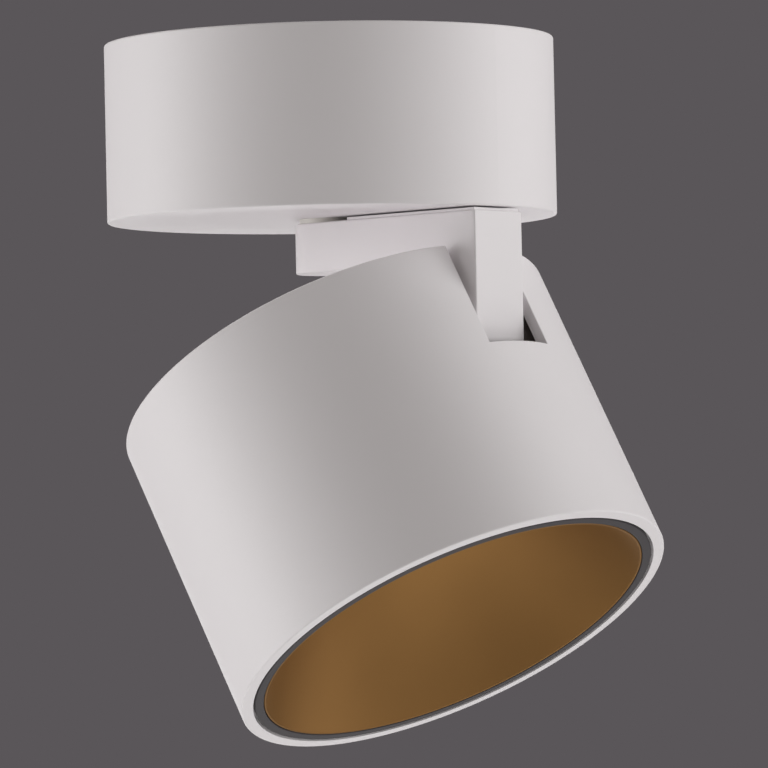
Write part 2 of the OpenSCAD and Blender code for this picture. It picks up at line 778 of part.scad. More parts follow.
// Wave spring: a thin ring with raised pads above and below
module wave_spring() {
    leaf = wave_h / 3;
    outer = stack_r - wave_inset;
    inner = tube_r + loose_gap;
    color("silver") translate([0, 0, slide_top_z]) {
        translate([0, 0, leaf]) ring(outer, inner, leaf);
        for (i = [0 : wave_count - 1]) {
            sector(outer - wave_inset, inner + wave_inset, 1.5 * leaf, 360 / wave_count * i, wave_pad_angle);
            translate([0, 0, 1.5 * leaf])
                sector(outer - wave_inset, inner + wave_inset, 1.5 * leaf,
                    360 / wave_count * (i + 0.5), wave_pad_angle);
        }
    }
}

// Washer with the tab that meets the stop pin
module stop_washer() {
    color("silver") translate([0, 0, wave_top_z]) difference() {
        union() {
            cylinder(r = stack_r, h = stop_washer_t);
            translate([0, -stop_tab_w / 2, 0])
                cube([stop_pin_reach + stop_tab_spare, stop_tab_w, stop_washer_t]);
        }
        translate([0, 0, -cut]) cylinder(r = tube_r + hold_gap, h = stop_washer_t + 2 * cut);
    }
}

// Nut and lock nut on the swivel tube, each chamfer-free, with a hairline between them
module swivel_nuts() {
    color("silver") {
        translate([0, 0, stop_top_z]) hex_nut(nut_across, tube_r + hold_gap, swivel_nut_h - run_gap);
        translate([0, 0, stop_top_z + swivel_nut_h]) hex_nut(nut_across, tube_r + hold_gap, swivel_nut_h);
    }
}

// Bar and leg of the arm, with the tube's hole, the cable channel and the axle's bore
module arm_casting() {
    cover_x1 = arm_reach - arm_cover_end;
    color("whitesmoke") difference() {
        union() {
            translate([arm_w / 2 - arm_back, 0, arm_bottom_z]) cylinder(r = arm_w / 2, h = bar_h);
            translate([arm_w / 2 - arm_back, -arm_w / 2, arm_bottom_z])
                cube([arm_back - arm_w / 2 + arm_reach, arm_w, bar_h]);
            translate([leg_in_x, -arm_w / 2, pin_z - leg_corner_z])
                cube([2 * leg_r, arm_w, arm_top_z - pin_z + leg_corner_z]);
            translate([leg_in_x + leg_corner_r, -arm_w / 2, pin_z - leg_end])
                cube([2 * leg_corner_x, arm_w, leg_end]);
            for (side = [-1, 1])
                translate([pin_reach + side * leg_corner_x, arm_w / 2, pin_z - leg_corner_z])
                    rotate([90, 0, 0]) cylinder(r = leg_corner_r, h = arm_w);
        }
        translate([0, 0, tube_bottom_z]) cylinder(r = tube_r + hold_gap, h = tube_grip + cut);
        translate([0, 0, channel_bottom_z]) cylinder(r = tube_hole_r, h = bar_h);
        translate([0, -channel_w / 2, channel_bottom_z])
            cube([channel_end_x, channel_w, tube_bottom_z - channel_bottom_z]);
        translate([arm_cover_x0 + arm_cover_end, -channel_w / 2, channel_bottom_z])
            cube([channel_end_x - arm_cover_x0 - arm_cover_end, channel_w, bar_h]);
        translate([arm_cover_x0, -arm_cover_w / 2 - arm_cover_gap, arm_top_z - arm_cover_t])
            cube([cover_x1 - arm_cover_x0, arm_cover_w + 2 * arm_cover_gap, arm_cover_t + cut]);
        translate([cover_x1 - cover_screw_inset, 0, arm_top_z - cover_screw_l])
            cylinder(r = cover_screw_r + hold_gap, h = cover_screw_l + cut, $fn = 32);
        translate([channel_end_x - leg_channel_w, -channel_w / 2, pin_z])
            cube([leg_channel_w, channel_w, channel_bottom_z - pin_z + cut]);
        translate([pin_reach, arm_w, pin_z]) rotate([90, 0, 0])
            cylinder(r = axle_r + hold_gap, h = 2 * arm_w);
        translate([pin_reach, 0, pin_z - leg_end - cut])
            cylinder(r = screw_r + hold_gap, h = leg_end + cut, $fn = 32);
    }
}

// Cover over the cable channel: an insert in the bar and a raised plate on its top
module arm_cover() {
    cover_x1 = arm_reach - arm_cover_end;
    color("whitesmoke") difference() {
        union() {
            translate([arm_cover_x0 + arm_cover_gap, -arm_cover_w / 2, arm_top_z - arm_cover_t])
                cube([cover_x1 - arm_cover_x0 - 2 * arm_cover_gap, arm_cover_w, arm_cover_t]);
            translate([arm_plate_x0, -arm_plate_w / 2, arm_top_z])
                cube([arm_reach - arm_plate_end - arm_plate_x0, arm_plate_w, arm_plate_h]);
        }
        translate([cover_x1 - cover_screw_inset, 0, arm_top_z - arm_cover_t - cut])
            cylinder(r = cover_screw_r + run_gap, h = arm_cover_t + arm_plate_h + 2 * cut, $fn = 32);
        translate([cover_x1 - cover_screw_inset, 0, arm_plate_top_z - arm_cover_t])
            cylinder(r1 = cover_screw_r + run_gap, r2 = cover_screw_head_r + run_gap, h = arm_cover_t,
                $fn = 32);
    }
}

// Countersunk screw of the arm's cover
module arm_cover_screw() {
    x = arm_reach - arm_cover_end - cover_screw_inset;
    color("silver") translate([x, 0, 0]) difference() {
        union() {
            translate([0, 0, arm_plate_top_z - cover_screw_l])
                cylinder(r = cover_screw_r, h = cover_screw_l, $fn = 32);
            translate([0, 0, arm_plate_top_z - arm_cover_t])
                cylinder(r1 = cover_screw_r, r2 = cover_screw_head_r, h = arm_cover_t, $fn = 32);
        }
        translate([0, 0, arm_plate_top_z - socket_depth])
            cylinder(r = socket_r, h = socket_depth + cut, $fn = 6);
    }
}

// Lead through the tube, the bar, the leg and the axle, ending on the tilt axis
module arm_lead() {
    color("black") lead([[0, 0, stop_top_z], [0, 0, arm_lead_z], [pin_reach, 0, arm_lead_z],
        [pin_reach, 0, pin_z], [pin_reach, axle_end_y, pin_z]], lead_r);
}

// Hollow axle with a head and a window for the lead
module pivot_axle() {
    color("silver") translate([pin_reach, 0, pin_z]) difference() {
        union() {
            translate([0, -axle_start_y, 0]) rotate([-90, 0, 0])
                cylinder(r = axle_r, h = axle_start_y + axle_end_y);
            translate([0, -axle_start_y, 0]) rotate([-90, 0, 0]) cylinder(r = axle_head_r, h = axle_head_t);
        }
        translate([0, -ear_in_y, 0]) rotate([-90, 0, 0])
            cylinder(r = axle_bore_r, h = ear_in_y + axle_end_y + cut);
        cylinder(r = window_r, h = axle_r + cut, $fn = 32);
    }
}

// Grub screw in the leg's round end that holds the axle
module axle_set_screw() {
    color("silver") translate([pin_reach, 0, pin_z - axle_r - set_screw_l]) difference() {
        cylinder(r = screw_r, h = set_screw_l, $fn = 32);
        translate([0, 0, -cut]) cylinder(r = socket_r, h = socket_depth + cut, $fn = 6);
    }
}

// Two friction washers, one at each side of the leg
module friction_washers() {
    color("ivory") for (y = [-ear_in_y, arm_w / 2])
        translate([pin_reach, y, pin_z]) rotate([-90, 0, 0])
            ring(friction_washer_r, axle_r + run_gap, friction_washer_t);
}

// Spring washer under the axle's nut
module spring_washer() {
    color("silver") translate([pin_reach, ear_out_y, pin_z]) rotate([-90, 0, 0])
        ring(spring_washer_r, axle_r + run_gap, spring_washer_t);
}

// Nut on the axle's threaded end
module axle_nut() {
    color("silver") translate([pin_reach, ear_out_y + spring_washer_t, pin_z]) rotate([-90, 0, 0])
        hex_nut(axle_nut_across, axle_r + hold_gap, axle_nut_t);
}

// Head cup with its slot, posts and ledge
module head_housing() {
    color("whitesmoke") in_head() difference() {
        union() {
            difference() {
                rotate_extrude($fn = 180) polygon(concat(
                    arc(head_r - head_edge_r, -head_edge_r, head_edge_r, 90, 0),
                    arc(head_r - rim_edge_r, rim_edge_r - head_h, rim_edge_r, 0, -90),
                    [[head_in_r, -head_h], [head_in_r, -head_top_t], [0, -head_top_t], [0, 0]]));
                translate([slot_in_u, -slot_w / 2, -slot_depth]) cube([head_r, slot_w, slot_depth + cut]);
            }
            for (a = post_angles) rotate([0, 0, a]) translate([post_reach, 0, -sink_w])
                cylinder(r = post_r, h = sink_w - head_top_t / 2, $fn = 48);
            ledge();
        }
        for (a = post_angles) rotate([0, 0, a]) translate([post_reach, 0, -sink_w - cut])
            cylinder(r = screw_r + hold_gap, h = sink_w - 2 * head_top_t + cut, $fn = 48);
    }
}

// Ledge in the head that carries the reflector's lip, open at the front ring's tongues
module ledge() {
    difference() {
        translate([0, 0, -lip_back_w]) ring(head_in_r + head_wall / 2, ledge_in_r, ledge_t);
        for (a = post_angles) rotate([0, 0, a])
            translate([ledge_in_r - cut, -ledge_gap_w / 2, -lip_back_w - cut])
                cube([head_in_r - ledge_in_r + cut, ledge_gap_w, ledge_t + 2 * cut]);
    }
}

// Bracket with two ears that turn on the axle and a base on the heat sink
module tilt_bracket() {
    color("dimgray") in_head() difference() {
        union() {
            translate([bracket_u0, -bracket_base_y, -sink_w])
                cube([bracket_u1 - bracket_u0, 2 * bracket_base_y, bracket_t]);
            for (y = [-ear_out_y, ear_in_y]) {
                translate([pin_u - ear_r, y, -sink_w]) cube([2 * ear_r, bracket_t, sink_w - pin_depth]);
                translate([pin_u, y, -pin_depth]) rotate([-90, 0, 0]) cylinder(r = ear_r, h = bracket_t);
            }
        }
        translate([pin_u, -ear_out_y - cut, -pin_depth]) rotate([-90, 0, 0])
            cylinder(r = axle_r + run_gap, h = 2 * (ear_out_y + cut));
        for (u = bracket_screw_us, side = [-1, 1]) translate([u, side * bracket_screw_y, -sink_w - cut])
            cylinder(r = screw_r + run_gap, h = bracket_t + 2 * cut, $fn = 48);
    }
}

// Screws that hold the bracket on the heat sink
module bracket_screws() {
    color("silver") in_head() for (u = bracket_screw_us, side = [-1, 1])
        translate([u, side * bracket_screw_y, -bracket_w]) cap_screw(bracket_t + sink_plate_t * 0.8);
}

// Heat sink: a round plate with straight fins, clear of the bracket and the posts
module heat_sink() {
    fin_n = floor(sink_r / fin_pitch);
    color("darkgray") in_head() difference() {
        union() {
            translate([0, 0, -sink_bottom_w]) cylinder(r = sink_r, h = sink_plate_t);
            intersection() {
                translate([0, 0, -sink_w - sink_plate_t / 2])
                    cylinder(r = sink_r, h = fin_h + sink_plate_t / 2);
                for (i = [-fin_n : fin_n])
                    translate([-sink_r, i * fin_pitch - fin_t / 2, -sink_w - sink_plate_t / 2])
                    cube([2 * sink_r, fin_t, fin_h + sink_plate_t]);
            }
        }
        translate([fin_clear_u, -fin_clear_y, -sink_w]) cube([sink_r, 2 * fin_clear_y, fin_h + cut]);
        for (a = post_angles) rotate([0, 0, a]) translate([post_reach, 0, 0]) {
            translate([0, 0, -sink_w]) cylinder(r = post_r + post_space, h = fin_h + cut, $fn = 48);
            translate([0, 0, -sink_bottom_w - cut])
                cylinder(r = screw_r + run_gap, h = sink_plate_t + 2 * cut, $fn = 48);
        }
        for (u = bracket_screw_us, side = [-1, 1])
            translate([u, side * bracket_screw_y, -sink_w - sink_plate_t * 0.8])
            cylinder(r = screw_r + hold_gap, h = sink_plate_t, $fn = 48);
        for (side = [-1, 1]) translate([0, side * holder_screw_reach, -sink_bottom_w - cut])
            cylinder(r = screw_r + hold_gap, h = sink_plate_t * 0.8 + cut, $fn = 48);
        translate([lead_drop_u, 0, -sink_bottom_w - cut])
            cylinder(r = sink_hole_r, h = sink_plate_t + 2 * cut, $fn = 48);
    }
}

// Screws that hold the heat sink on the housing's posts
module heat_sink_screws() {
    color("silver") in_head() for (a = post_angles) rotate([0, 0, a])
        translate([post_reach, 0, -sink_bottom_w]) mirror([0, 0, 1]) cap_screw(sink_plate_t + head_wall * 3);
}

// Thermal pad under the light-emitting board
module thermal_pad() {
    color("lightgray") in_head() translate([-board_w / 2, -board_w / 2, -board_w0])
        cube([board_w, board_w, pad_t]);
}

// Square ceramic board
module led_board() {
    color("white") in_head() translate([-board_w / 2, -board_w / 2, -emitter_w0])
        cube([board_w, board_w, board_t]);
}

// Yellow light-emitting disc
module led_emitter() {
    color("yellow") in_head() translate([0, 0, -emitter_w0 - emitter_t])
        cylinder(r = emitter_r, h = emitter_t);
}

// Holder that clamps the board and carries the diffuser and the reflector's throat
module led_holder() {
    pocket = board_w + 2 * holder_pocket_gap;
    color("white") in_head() difference() {
        translate([0, 0, -holder_bottom_w]) cylinder(r = holder_r, h = holder_h);
        translate([-pocket / 2, -pocket / 2, -emitter_w0]) cube([pocket, pocket, holder_h]);
        translate([0, 0, -holder_bottom_w - cut]) cylinder(r = aperture_r, h = holder_h);
        translate([0, 0, -holder_bottom_w - cut])
            cylinder(r = diffuser_r + diffuser_step_gap, h = holder_bottom_w - diffuser_w0 + cut);
        for (side = [-1, 1]) translate([0, side * holder_screw_reach, -holder_bottom_w - cut]) {
            cylinder(r = screw_r + run_gap, h = holder_h + 2 * cut, $fn = 48);
            cylinder(r = screw_head_r + loose_gap, h = screw_head_h + cut, $fn = 48);
        }
    }
}

// Screws of the board's holder, their heads sunk flush with its face
module holder_screws() {
    color("silver") in_head() for (side = [-1, 1])
        translate([0, side * holder_screw_reach, screw_head_h - holder_bottom_w])
            mirror([0, 0, 1]) cap_screw(holder_h - screw_head_h + sink_plate_t * 0.6);
}

// Frosted disc over the emitter
module diffuser() {
    color("aliceblue") in_head() translate([0, 0, -diffuser_w0 - diffuser_t])
        cylinder(r = diffuser_r, h = diffuser_t);
}

// Deep bowl with a lip near its mouth
module reflector() {
    depth = mouth_w - holder_bottom_w;
    bowl = [for (i = [0 : reflector_steps]) let (s = i / reflector_steps)
        [bowl_r(s), -holder_bottom_w - depth * s]];
    back = [for (i = [reflector_steps : -1 : 0]) let (s = i / reflector_steps)
        [min(bowl_r(s) + reflector_wall, mouth_out_r), -holder_bottom_w - depth * s]];
    color("darkgoldenrod") in_head() union() {
        rotate_extrude($fn = 180) polygon(concat(bowl, back));
        translate([0, 0, -ring_back_w]) ring(lip_r, lip_in_r, lip_t);
    }
}

// Dark front ring with three spring tongues that grip the head's wall
module front_ring() {
    color("dimgray") in_head() union() {
        translate([0, 0, -ring_face_w]) ring(ring_r, ring_in_r, ring_t);
        for (a = post_angles) rotate([0, 0, a]) {
            translate([ring_r - tongue_t, -tongue_w / 2, -ring_back_w - ring_t / 2])
                cube([tongue_t * 0.9, tongue_w, tongue_l + ring_t / 2]);
            translate([ring_r - tongue_t * 0.5, -tongue_w / 4, tongue_l - ring_back_w - barb_h])
                cube([ring_gap + tongue_t * 0.3, tongue_w / 2, barb_h]);
        }
    }
}

// Lead from the end of the axle through the heat sink to the top of the board's holder
module head_lead() {
    side_y = axle_end_y + lead_r + lead_side_gap;
    color("black") in_head() lead([[pin_u, axle_end_y, -pin_depth], [pin_u, side_y, -pin_depth],
        [lead_drop_u, side_y, -pin_depth], [lead_drop_u, 0, -pin_depth],
        [lead_drop_u, 0, -sink_bottom_w]], lead_r);
}

mounting_plate();
cable_grommet();
terminal_block();
terminal_screws();
earth_screw();
ring_terminal();
earth_lead();
driver_case();
driver_lid();
driver_board();
driver_transformer();
driver_capacitors();
driver_screws();
mains_leads();
driver_lead();
base_housing();
lock_screw();
swivel_bush();
stop_pin();
swivel_tube();
slide_washer();
wave_spring();
stop_washer();
swivel_nuts();
arm_casting();
arm_cover();
arm_cover_screw();
arm_lead();
pivot_axle();
axle_set_screw();
friction_washers();
spring_washer();
axle_nut();
head_housing();
tilt_bracket();
bracket_screws();
heat_sink();
heat_sink_screws();
thermal_pad();
led_board();
led_emitter();
led_holder();
holder_screws();
diffuser();
reflector();
front_ring();
head_lead();
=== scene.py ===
"""Dresses the surface mounted ceiling spotlight: soft-edged housings, finishes, studio and camera."""

import json
import math

import bmesh
import bpy
from bpy.props import FloatProperty, FloatVectorProperty, IntProperty, PointerProperty
from bpy.types import Operator, Panel, PropertyGroup
from mathutils import Matrix, Vector


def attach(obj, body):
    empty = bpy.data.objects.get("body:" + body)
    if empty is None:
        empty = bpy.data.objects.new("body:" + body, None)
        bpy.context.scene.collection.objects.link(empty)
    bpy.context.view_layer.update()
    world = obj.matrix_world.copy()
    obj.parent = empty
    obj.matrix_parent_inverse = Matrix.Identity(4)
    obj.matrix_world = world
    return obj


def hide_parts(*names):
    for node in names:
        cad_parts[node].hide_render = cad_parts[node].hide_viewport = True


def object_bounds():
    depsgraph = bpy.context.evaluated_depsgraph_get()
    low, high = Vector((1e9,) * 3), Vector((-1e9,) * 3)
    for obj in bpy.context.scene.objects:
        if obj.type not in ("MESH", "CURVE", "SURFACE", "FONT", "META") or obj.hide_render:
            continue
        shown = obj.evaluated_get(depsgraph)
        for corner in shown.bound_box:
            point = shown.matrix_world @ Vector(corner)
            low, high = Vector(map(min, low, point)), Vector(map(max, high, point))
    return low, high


bl_info = {
    "name": "Ceiling Spotlight",
    "version": (1, 0, 0),
    "blender": (4, 5, 0),
    "location": "View3D > Sidebar > Spotlight",
    "description": "Dresses the ceiling spotlight and sets it in a plain studio",
    "category": "Object",
}

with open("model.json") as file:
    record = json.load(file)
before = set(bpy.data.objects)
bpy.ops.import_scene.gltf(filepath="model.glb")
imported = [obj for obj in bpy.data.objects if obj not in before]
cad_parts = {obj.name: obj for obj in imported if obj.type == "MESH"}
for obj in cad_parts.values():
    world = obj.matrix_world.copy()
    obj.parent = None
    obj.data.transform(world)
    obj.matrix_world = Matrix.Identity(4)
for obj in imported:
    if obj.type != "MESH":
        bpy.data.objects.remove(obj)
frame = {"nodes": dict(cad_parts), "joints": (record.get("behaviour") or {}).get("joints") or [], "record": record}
CAD_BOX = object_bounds()
TILT = next(joint for joint in frame["joints"] if joint["name"] == "head_tilt")
AXLE = Vector(TILT["pos_m"])
MM = 0.001


def length(default, text):
    """A size property in metres."""
    return FloatProperty(name=text, description=text, default=default, unit="LENGTH", precision=5)


def colour(default, text):
    """A colour property."""
    return FloatVectorProperty(
        name=text, description=text, default=default, size=3, subtype="COLOR", min=0, max=1
    )


def share(default, text):
    """A plain number from 0 to 1."""
    return FloatProperty(name=text, description=text, default=default, min=0, max=1, subtype="FACTOR")


def angle(default, text):
    """An angle, given in degrees."""
    return FloatProperty(name=text, description=text, default=math.radians(default), unit="ROTATION")


class SpotlightFinishes(PropertyGroup):
    """Colours and roughness of the visible finishes."""

    coat: colour((0.90, 0.868, 0.885), "Powder coat colour")
    coat_rough: share(0.50, "Powder coat roughness")
    peel: length(0.55 * MM, "Width of a dimple in the powder coat")
    gold: colour((0.329, 0.178, 0.061), "Reflector colour")
    gold_rough: share(0.60, "Reflector roughness")
    ring: colour((0.04, 0.034, 0.038), "Front ring colour")
    ring_rough: share(0.42, "Front ring roughness")
    steel: colour((0.60, 0.61, 0.63), "Zinc plated steel colour")
    nylon: colour((0.80, 0.78, 0.73), "Natural nylon colour")
    plastic: colour((0.84, 0.84, 0.82), "White plastic colour")


class SpotlightEdges(PropertyGroup):
    """Roundness of the edges that the light catches."""

    arm: length(0.35 * MM, "Rounding of the arm's edges")
    slot: length(0.28 * MM, "Rounding of the edges of the head's slot")
    ring: length(0.2 * MM, "Rounding of the front ring's edges")
    lip: length(0.12 * MM, "Rounding of the reflector's lip")
    steps: IntProperty(
        name="Steps", description="Faces across a rounded edge", default=3, min=1, max=8, subtype="UNSIGNED"
    )


class SpotlightStudio(PropertyGroup):
    """Camera, lamps, backdrop colour and floor."""

    azimuth: angle(43.499, "Camera's turn round the spotlight")
    distance: length(1.4306, "Camera's distance from the swivel axis")
    height: length(-0.13215, "Camera's height, from the ceiling")
    pitch: angle(2.2305, "Camera's upward tilt")
    yaw: angle(-0.4291, "Camera's turn off the swivel axis")
    roll: angle(1.2359, "Camera's roll")
    lens: FloatProperty(
        name="Lens", description="Focal length in millimetres", default=301.98, min=1, unit="CAMERA"
    )
    backdrop: colour((0.1022, 0.0931, 0.0999), "Backdrop colour")
    fill: colour((0.1445, 0.133, 0.122), "Soft light from all round")
    level: FloatProperty(
        name="Lamp level", description="Multiplies every lamp's power", default=1.0, min=0, subtype="FACTOR"
    )
    floor_drop: length(2.4, "Floor's depth below the ceiling")
    floor_size: length(6.0, "Side of the square floor")
    floor: colour((0.72, 0.71, 0.70), "Floor colour")


# Name, turn off the camera's side, rise above it, width and height in metres, and power in watts.
SOFTBOXES = (
    ("left_front", -70, 0, 0.7, 1.4, 2.7),
    ("left_side", -95, 0, 0.7, 1.4, 8.2),
    ("right_side", 95, 0, 0.7, 1.4, 4.8),
    ("right_high", 80, 40, 0.9, 0.9, 5.2),
    ("right_low", 50, -40, 0.9, 0.9, 2.8),
    ("camera_side", 20, 0, 0.7, 1.4, 0.9),
    ("below", 0, -85, 1.4, 1.4, 6.0),
    ("behind", 180, -15, 0.9, 0.9, 2.4),
    ("back_low", 180, -45, 0.9, 0.9, 0.5),
)
SOFTBOX_DISTANCE = 1.2
# How far the camera sees, in metres, and how many squares the floor has along a side.
CAMERA_REACH = 20
FLOOR_SQUARES = 24


class Value:
    """A socket of a material that takes part in plain arithmetic."""

    def __init__(self, tree, socket):
        self.tree = tree
        self.socket = socket

    def _math(self, operation, a, b):
        node = self.tree.nodes.new("ShaderNodeMath")
        node.operation = operation
        for slot, term in zip(node.inputs, (a, b)):
            if isinstance(term, Value):
                self.tree.links.new(term.socket, slot)
            else:
                slot.default_value = term
        return Value(self.tree, node.outputs[0])

    def __add__(self, other):
        return self._math("ADD", self, other)

    def __radd__(self, other):
        return self._math("ADD", other, self)

    def __mul__(self, other):
        return self._math("MULTIPLY", self, other)

    def __rmul__(self, other):
        return self._math("MULTIPLY", other, self)

    def above(self, other):
        """1 where the value is greater than the other, and 0 elsewhere."""
        return self._math("GREATER_THAN", self, other)

    def wrapped(self, other):
        """The value's remainder after division."""
        return self._math("FLOORED_MODULO", self, other)


class Finish:
    """A procedural material on the piece's own coordinates."""

    def __init__(self, name, rough, metallic=0.0, **constants):
        self.material = bpy.data.materials.new(name)
        self.material.use_nodes = True
        self.tree = self.material.node_tree
        self.tree.nodes.clear()
        self.place = self.node("ShaderNodeTexCoord", out="Object")
        self.shader = self.tree.nodes.new("ShaderNodeBsdfPrincipled")
        output = self.tree.nodes.new("ShaderNodeOutputMaterial")
        self.tree.links.new(self.shader.outputs[0], output.inputs["Surface"])
        self.set(Roughness=rough, Metallic=metallic, **constants)

    def node(self, kind, settings=None, inputs=None, out=0):
        """Makes a node with its settings first, then its inputs, and gives one of its outputs."""
        node = self.tree.nodes.new(kind)
        for key, value in (settings or {}).items():
            setattr(node, key, value)
        for key, value in (inputs or {}).items():
            self._feed(node.inputs[key], value)
        return Value(self.tree, node.outputs[out])

    def _feed(self, socket, value):
        if isinstance(value, Value):
            self.tree.links.new(value.socket, socket)
        else:
            socket.default_value = value

    def set(self, **sockets):
        """Sets or links sockets of the surface shader; an underscore stands for a space."""
        for key, value in sockets.items():
            self._feed(self.shader.inputs[key.replace("_", " ")], value)

    def noise(self, width, detail=2.0, stretch=None):
        """Noise whose blobs are about as wide as the given length."""
        where = self.place
        if stretch:
            where = self.node("ShaderNodeMapping", None, {"Vector": where, "Scale": stretch}, "Vector")
        inputs = {"Vector": where, "Scale": 1 / width, "Detail": detail}
        return self.node("ShaderNodeTexNoise", None, inputs, "Fac")

    def mix(self, mask, first, second):
        """First colour where the mask is 0 and second where it is 1."""
        # The colour mix has its factor at socket 0, its colours at 6 and 7 and its result at output 2.
        inputs = {0: mask, 6: first, 7: second}
        return self.node("ShaderNodeMix", {"data_type": "RGBA"}, inputs, 2)

    def bump(self, height, depth, strength=1.0):
        """Relief of the given depth from a height that runs from 0 to 1."""
        inputs = {"Height": height, "Distance": depth, "Strength": strength}
        self.set(Normal=self.node("ShaderNodeBump", None, inputs, "Normal"))


def rgba(tint, gain=1.0):
    """A colour with its alpha, made lighter or darker."""
    return tuple(min(1.0, c * gain) for c in tint) + (1.0,)


def powder_coat(props):
    """Fine matte powder coat: even colour, small soft dimples and a slightly uneven sheen."""
    coat = Finish("white_coat", props.coat_rough, Specular_IOR_Level=0.5)
    dimples = coat.noise(props.peel, 2)
    grain = coat.noise(props.peel * 0.3, 1)
    clouds = coat.noise(20 * MM, 3)
    coat.set(
        Base_Color=coat.mix(clouds * 0.6 + grain * 0.4, rgba(props.coat, 0.975), rgba(props.coat, 1.02)),
        Roughness=props.coat_rough - 0.03 + grain * 0.06,
    )
    coat.bump(dimples * 0.7 + grain * 0.3, 0.02 * MM, 0.7)
    return coat.material


def gold_anodised(props):
    """Matte gold anodised aluminium: a fine blasted grain under a satin metal."""
    gold = Finish("gold_reflector", props.gold_rough, 1.0)
    grain = gold.noise(0.25 * MM, 2)
    clouds = gold.noise(12 * MM, 2)
    gold.set(
        Base_Color=gold.mix(clouds, rgba(props.gold, 0.96), rgba(props.gold, 1.04)),
        Roughness=props.gold_rough - 0.04 + grain * 0.08,
    )
    gold.bump(grain, 0.008 * MM, 0.6)
    return gold.material


def moulded(name, tint, rough, grain_width, grain_depth, mottle=0.04, **constants):
    """Moulded plastic or rubber with a fine grain and faint mottling."""
    made = Finish(name, rough, **constants)
    grain = made.noise(grain_width, 2)
    clouds = made.noise(8 * MM, 2)
    made.set(
        Base_Color=made.mix(clouds, rgba(tint, 1 - mottle), rgba(tint, 1 + mottle)),
        Roughness=rough - 0.04 + grain * 0.08,
    )
    made.bump(grain, grain_depth, 0.6)
    return made.material


def metal(name, tint, rough, stretch, tarnish=0.12):
    """Plated or drawn metal: streaks along one direction and slight tarnish."""
    made = Finish(name, rough, 1.0)
    streaks = made.noise(0.4 * MM, 3, stretch)
    clouds = made.noise(6 * MM, 3)
    made.set(
        Base_Color=made.mix(clouds, rgba(tint, 1 - tarnish), rgba(tint, 1 + tarnish / 3)),
        Roughness=rough - 0.06 + streaks * 0.12,
    )
    made.bump(streaks, 0.006 * MM, 0.5)
    return made.material


def banded(name, first, second, pitch, thickness, axis, rough):
    """Sleeve or tape with bands of a second colour along one axis."""
    made = Finish(name, rough)
    parts = made.node("ShaderNodeSeparateXYZ", None, {"Vector": made.place}, axis)
    band = parts.wrapped(pitch).above(pitch * (1 - thickness))
    made.set(Base_Color=made.mix(band, rgba(first), rgba(second)))
    made.bump(made.noise(0.5 * MM, 2), 0.01 * MM, 0.5)
    return made.material


def circuit_board():
    """Green solder mask over faint copper tracks."""
    made = Finish("board_green", 0.35, Coat_Weight=0.3)
    parts = [made.node("ShaderNodeSeparateXYZ", None, {"Vector": made.place}, axis) for axis in "XY"]
    tracks = (parts[0] + 0.5 * parts[1]).wrapped(2.2 * MM).above(1.5 * MM)
    made.set(Base_Color=made.mix(tracks, (0.03, 0.16, 0.07, 1), (0.05, 0.24, 0.10, 1)))
    made.bump(tracks, 0.03 * MM, 0.6)
    return made.material


def frosted_glass():
    """Frosted disc that lets the emitter show softly."""
    made = Finish("frosted_glass", 0.55, Transmission_Weight=0.55, IOR=1.49)
    frost = made.noise(0.2 * MM, 2)
    made.set(
        Base_Color=made.mix(frost, (0.86, 0.87, 0.88, 1), (0.93, 0.93, 0.92, 1)),
        Roughness=0.5 + frost * 0.1,
    )
    made.bump(frost, 0.01 * MM, 0.5)
    return made.material


def all_finishes(props):
    """Every material slot of the record, with its finish."""
    along, around = (1, 1, 0.05), (0.05, 1, 1)
    made = [
        powder_coat(props),
        gold_anodised(props),
        moulded("dark_ring", props.ring, props.ring_rough, 0.3 * MM, 0.01 * MM, Specular_IOR_Level=0.3),
        metal("zinc_steel", props.steel, 0.36, along),
        metal("screw_steel", (0.55, 0.56, 0.58), 0.30, around),
        metal("brass_plate", (0.72, 0.55, 0.27), 0.32, around),
        metal("tinned_copper", (0.70, 0.69, 0.66), 0.38, along),
        metal("raw_aluminium", (0.62, 0.63, 0.65), 0.42, around),
        moulded("black_steel", (0.42, 0.38, 0.35), 0.45, 0.4 * MM, 0.02 * MM, metallic=1.0),
        moulded("black_rubber", (0.035, 0.035, 0.036), 0.7, 0.5 * MM, 0.02 * MM),
        moulded("white_plastic", props.plastic, 0.45, 0.4 * MM, 0.01 * MM),
        moulded("natural_nylon", props.nylon, 0.4, 0.3 * MM, 0.01 * MM),
        moulded("black_sleeve", (0.03, 0.03, 0.032), 0.55, 0.4 * MM, 0.02 * MM),
        moulded("brown_sleeve", (0.16, 0.07, 0.03), 0.4, 0.4 * MM, 0.01 * MM),
        moulded("grey_pad", (0.35, 0.37, 0.40), 0.75, 0.3 * MM, 0.02 * MM),
        moulded("white_ceramic", (0.86, 0.86, 0.83), 0.25, 0.2 * MM, 0.004 * MM),
        moulded("phosphor", (0.86, 0.66, 0.10), 0.5, 0.15 * MM, 0.01 * MM, mottle=0.08),
        banded("green_yellow", (0.10, 0.36, 0.06), (0.80, 0.68, 0.05), 3 * MM, 0.4, "Y", 0.4),
        banded("yellow_tape", (0.72, 0.56, 0.06), (0.50, 0.38, 0.05), 4 * MM, 0.08, "X", 0.45),
        banded("capacitor_sleeve", (0.03, 0.05, 0.14), (0.45, 0.47, 0.50), 7.5 * MM, 0.15, "Z", 0.35),
        circuit_board(),
        frosted_glass(),
    ]
    return {m.name: m for m in made}


